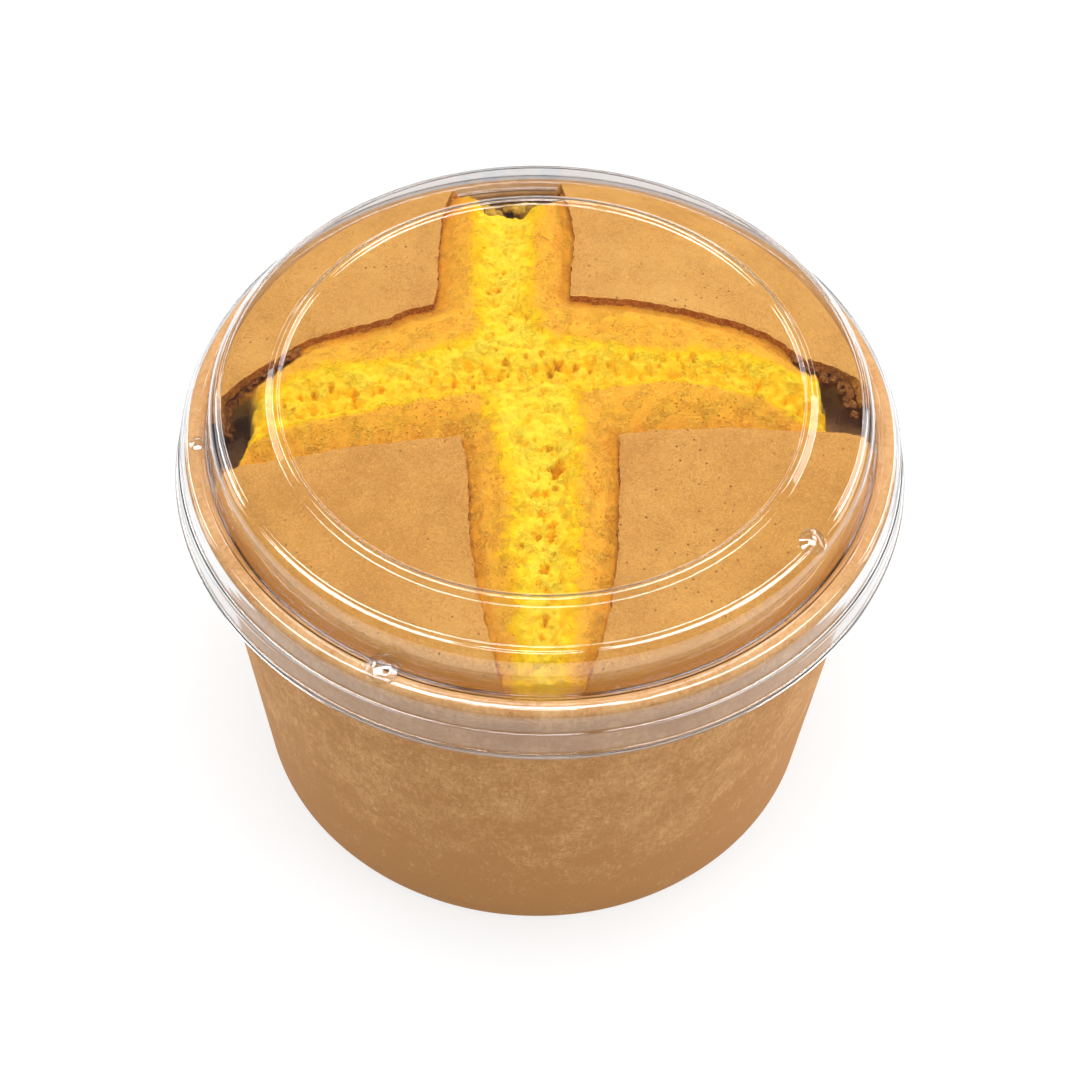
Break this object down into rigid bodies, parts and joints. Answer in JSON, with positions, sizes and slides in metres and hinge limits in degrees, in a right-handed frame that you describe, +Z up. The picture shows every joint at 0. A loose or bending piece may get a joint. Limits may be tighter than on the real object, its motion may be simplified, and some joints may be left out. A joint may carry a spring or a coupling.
{
  "type": "sponge cake",
  "caption": "Golden sponge cake risen in a cross between four crust quarters, in a tapered kraft paper bowl with a clear press-on lid.",
  "frame": {"origin": "centre of the circle on which the bowl stands", "axes": "+Z up along the axis of the bowl and lid; -Y towards the viewer of the picture; +X to the viewer's right"},
  "size_m": [0.156, 0.156, 0.1081],
  "materials": {
    "kraft_paper": "matt uncoated kraft board, light tan brown",
    "baked_sponge": "baked sponge: golden yellow crumb and tan crust, matt and porous",
    "clear_plastic": "clear, smooth and glossy thermoformed sheet"
  },
  "bodies": {
    "root": {"bowl": "kraft_paper", "cake": "baked_sponge", "lid": "clear_plastic"}
  },
  "joints": []
}
